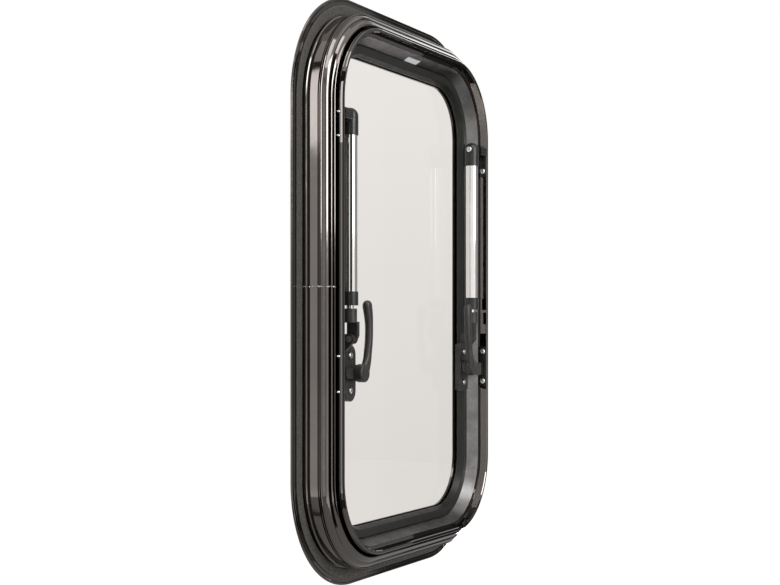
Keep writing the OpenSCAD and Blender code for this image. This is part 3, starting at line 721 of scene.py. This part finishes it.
def lever(side):
    """One latch lever: a hub that swells into a long bent arm with a rounded tip."""
    sign = SIDES[side]
    curve = through(LEVER_STATIONS, LEVER_STEPS)
    rings = []
    for index, station in enumerate(curve):
        one, other = curve[max(index - 1, 0)], curve[min(index + 1, len(curve) - 1)]
        ahead = Vector((other[0] - one[0], other[1] - one[1])).normalized()
        rings.append(lever_ring(station, ahead))
    tip = curve[-1]
    for step in range(1, TIP_RINGS + 1):
        angle = math.pi / 2 * step / (TIP_RINGS + 0.5)
        reach = tip[2] * math.sin(angle)
        moved = (tip[0] + ahead.x * reach, tip[1] + ahead.y * reach, *tip[2:])
        rings.append(lever_ring(moved, ahead, math.cos(angle)))
    hub = [[(r * math.cos(a), d, r * math.sin(a)) for a in turns(HUB_POINTS)]
           for r, d in HUB_OUTLINE]
    axis_x, axis_z = HUB_AXIS
    inboard = Matrix.Diagonal((-sign * MM, -MM, MM, 1))
    place = Matrix.Translation((sign * axis_x * MM, 0, axis_z * MM)) @ inboard
    shape = bmesh.new()
    skin(shape, rings, place)
    skin(shape, hub, place)
    name = f"{side}_latch_lever"
    piece = add_piece(f"{name}_moulded", shape, f"{side}_lever", "charcoal_plastic", name)
    fuse(piece, SKIN_VOXEL, SKIN_ROUNDS)


def fuse(piece, voxel, rounds):
    """Melts a piece's overlapping shells into one smooth skin."""
    remesh = piece.modifiers.new("fuse", "REMESH")
    remesh.mode = "VOXEL"
    remesh.voxel_size = voxel
    smooth = piece.modifiers.new("soften", "SMOOTH")
    smooth.factor = 0.5
    smooth.iterations = rounds
    graph = bpy.context.evaluated_depsgraph_get()
    mesh = bpy.data.meshes.new_from_object(piece.evaluated_get(graph))
    piece.modifiers.clear()
    piece.data = mesh
    mesh.shade_smooth()


def blank_label():
    """A blank white film on the slope of the top reveal."""
    (inset_a, depth_a), (inset_b, depth_b) = REVEAL_SLOPE
    length = math.hypot(inset_b - inset_a, depth_b - depth_a)
    down = Vector((0, -(depth_b - depth_a), -(inset_b - inset_a))) / length
    out = Vector((0, -(inset_b - inset_a), (depth_b - depth_a))) / length
    share = (depth_a - LABEL_DEPTH) / (depth_a - depth_b)
    inset = inset_a + (inset_b - inset_a) * share
    centre = Vector((LABEL_ASIDE, -LABEL_DEPTH * MM, MIDDLE.z + (HALF_HEIGHT - inset) * MM))
    edge = []
    for cx, cy, start in ((1, 1, 0), (-1, 1, 90), (-1, -1, 180), (1, -1, 270)):
        for step in range(LABEL_CORNER_STEPS + 1):
            angle = math.radians(start + 90 * step / LABEL_CORNER_STEPS)
            edge.append((cx * (LABEL_HALF_WIDTH - LABEL_CORNER) + LABEL_CORNER * math.cos(angle),
                         cy * (LABEL_HALF_HEIGHT - LABEL_CORNER) + LABEL_CORNER * math.sin(angle)))
    shape = bmesh.new()
    skin(shape, [[centre + Vector((x, 0, 0)) + down * y + out * rise for x, y in edge]
                 for rise in LABEL_FACES])
    add_piece("blank_label", shape, "root", "foam_seal", crease=40, material=blank_paper())


def frame_joint():
    """The rough seam where the ends of the outer extrusion meet, on the left jamb."""
    draw = random.Random(7)
    shape = bmesh.new()
    face = FRAME_FACE[JOINT_START:]
    for (inset_a, depth_a), (inset_b, depth_b) in zip(face, face[1:]):
        run = math.hypot(inset_b - inset_a, depth_b - depth_a)
        out = Vector((-(depth_b - depth_a), 0, 0)) / run
        out.y = -(inset_b - inset_a) / run
        pieces = max(1, round(run / BURR_SPACING))
        rings = []
        for step in range(pieces + 1):
            share = step / pieces
            inset = inset_a + (inset_b - inset_a) * share
            depth = depth_a + (depth_b - depth_a) * share
            spot = Vector(((inset - HALF_WIDTH) * MM, -depth * MM, MIDDLE.z + JOINT_HEIGHT))
            coarse = draw.random() < COARSE_SHARE
            proud = draw.uniform(*COARSE_PROUD) * MM if coarse else FINE_PROUD * MM
            thick = draw.uniform(*COARSE_THICK) * MM if coarse else FINE_THICK * MM
            rise = Vector((0, 0, thick))
            lean = Vector((0, 0, draw.uniform(-1, 1) * thick))
            sunk = spot - out * BURR_ROOT * MM
            rings.append([sunk - rise, spot + out * proud + lean, sunk + rise])
        skin(shape, rings)
    add_piece("frame_joint_burr", shape, "root", "bright_steel", crease=10)


def add_camera():
    """A level camera at the photo's place, raised in the frame by its shift."""
    camera = bpy.data.objects.new("camera", bpy.data.cameras.new("camera"))
    bpy.context.scene.collection.objects.link(camera)
    forward = Vector((math.sin(VIEW_AZIMUTH), math.cos(VIEW_AZIMUTH), 0))
    aside = Vector((math.cos(VIEW_AZIMUTH), -math.sin(VIEW_AZIMUTH), 0))
    below = Vector((0, 0, VIEW_BELOW))
    camera.location = MIDDLE - forward * VIEW_DISTANCE - aside * VIEW_ASIDE - below
    camera.rotation_euler = forward.to_track_quat("-Z", "Y").to_euler()
    camera.data.lens = VIEW_LENS
    camera.data.sensor_width = SENSOR_WIDTH
    camera.data.shift_y = HORIZON_SHIFT
    camera.data.clip_start = 0.01
    bpy.context.scene.camera = camera


def toward(azimuth, distance, up):
    """A place seen from the window's middle; azimuth turns from +X towards +Y."""
    turn = math.radians(azimuth)
    return MIDDLE + Vector((math.cos(turn), math.sin(turn), up)) * distance


def add_area(name, place, size, power):
    """A soft rectangular lamp that faces the window's middle."""
    light = bpy.data.lights.new(name, "AREA")
    light.shape = "RECTANGLE"
    light.size, light.size_y = size
    light.energy = power
    lamp = bpy.data.objects.new(name, light)
    bpy.context.scene.collection.objects.link(lamp)
    lamp.location = place
    lamp.rotation_euler = (MIDDLE - Vector(place)).to_track_quat("-Z", "Y").to_euler()
    lamp.visible_camera = lamp.visible_transmission = False


def seen_directly(tree):
    """A socket that is 1 for camera, glossy and transmission rays, and 0 for the rest."""
    path = tree.nodes.new("ShaderNodeLightPath")
    total = path.outputs["Is Camera Ray"]
    for kind in ("Is Glossy Ray", "Is Transmission Ray"):
        add = tree.nodes.new("ShaderNodeMath")
        add.operation = "ADD"
        add.use_clamp = True
        tree.links.new(total, add.inputs[0])
        tree.links.new(path.outputs[kind], add.inputs[1])
        total = add.outputs[0]
    return total


def add_world():
    """A white studio: white where it is seen, softer where it lights the object."""
    world = bpy.data.worlds.new("studio")
    bpy.context.scene.world = world
    world.use_nodes = True
    tree = world.node_tree
    tree.nodes.clear()
    output = tree.nodes.new("ShaderNodeOutputWorld")
    mix = tree.nodes.new("ShaderNodeMixShader")
    lit = tree.nodes.new("ShaderNodeBackground")
    seen = tree.nodes.new("ShaderNodeBackground")
    lit.inputs["Color"].default_value = (1, 0.985, 0.965, 1)
    lit.inputs["Strength"].default_value = WORLD_LIGHT
    seen.inputs["Color"].default_value = (1, 1, 1, 1)
    seen.inputs["Strength"].default_value = 1.0
    tree.links.new(seen_directly(tree), mix.inputs["Fac"])
    tree.links.new(lit.outputs[0], mix.inputs[1])
    tree.links.new(seen.outputs[0], mix.inputs[2])
    tree.links.new(mix.outputs[0], output.inputs["Surface"])


def add_sheet(name, corners, material):
    """A single four-cornered sheet of the studio."""
    mesh = bpy.data.meshes.new(name)
    mesh.from_pydata(corners, [], [(0, 1, 2, 3)])
    mesh.materials.append(material)
    sheet = bpy.data.objects.new(name, mesh)
    bpy.context.scene.collection.objects.link(sheet)
    return sheet


def square(x, y, half, level):
    """The corners of a level square round a place of the floor plan."""
    return [(x + a * half, y + b * half, level) for a, b in ((-1, -1), (1, -1), (1, 1), (-1, 1))]


def add_floor():
    """A white floor well below the window, which hangs in a wall."""
    half = FLOOR_SIZE / 2
    level = CAD_BOX[0][2] - FLOOR_DROP
    shader = Shader("floor")
    shader.set(Base_Color=(0.92, 0.92, 0.92, 1), Roughness=0.9, Specular_IOR_Level=0.0,
               Emission_Color=(1, 1, 1, 1))
    glow = shader.ramp(seen_directly(shader.tree), 0, FLOOR_GLOW, 0, 1)
    shader.link(glow, shader.surface.inputs["Emission Strength"])
    add_sheet("floor", square(0, 0, half, level), shader.material)


def add_card(name, corners, glow):
    """A card that only gloss shows, as in a studio for shiny metal; glow turns it grey."""
    shader = Shader(name)
    shader.set(Base_Color=(0.02, 0.02, 0.02, 1), Roughness=1.0, Specular_IOR_Level=0.0,
               Emission_Color=(1, 1, 1, 1), Emission_Strength=glow)
    card = add_sheet(name, corners, shader.material)
    card.visible_camera = card.visible_diffuse = False
    card.visible_transmission = card.visible_shadow = False


def add_lights():
    """Plain soft studio lamps, and the cards that the metal mirrors."""
    for name, (azimuth, distance, up, size, power) in LAMPS.items():
        add_area(name, toward(azimuth, distance, up), size, power)
    for name, (start, end, low, high, glow) in UPRIGHT_CARDS.items():
        add_card(name, [(*start, low), (*end, low), (*end, high), (*start, high)], glow)
    for name, ((x, y), half, level, glow) in LEVEL_CARDS.items():
        add_card(name, square(x, y, half, level), glow)


def build():
    """All the pieces that stand for nodes or lie on them."""
    outer_frame()
    ribbed_bead()
    foam_strip()
    for seed, side in enumerate(SIDES):
        lever(side)
        jamb_screws(side, "bracket_screws", True, JAMB_SHANK, 10 + seed)
        jamb_screws(side, "keeper_screws", True, JAMB_SHANK, 20 + seed)
        jamb_screws(side, "stay_screw", False, STAY_SHANK, 30 + seed)
        latch_screws(side, 40 + seed)
        stop_screw(side, 50 + seed)
    blank_label()
    frame_joint()


bpy.context.scene.view_settings.view_transform = "Standard"
add_camera()
add_world()
add_floor()
add_lights()
MATERIALS = make_materials()
dress_nodes()
build()
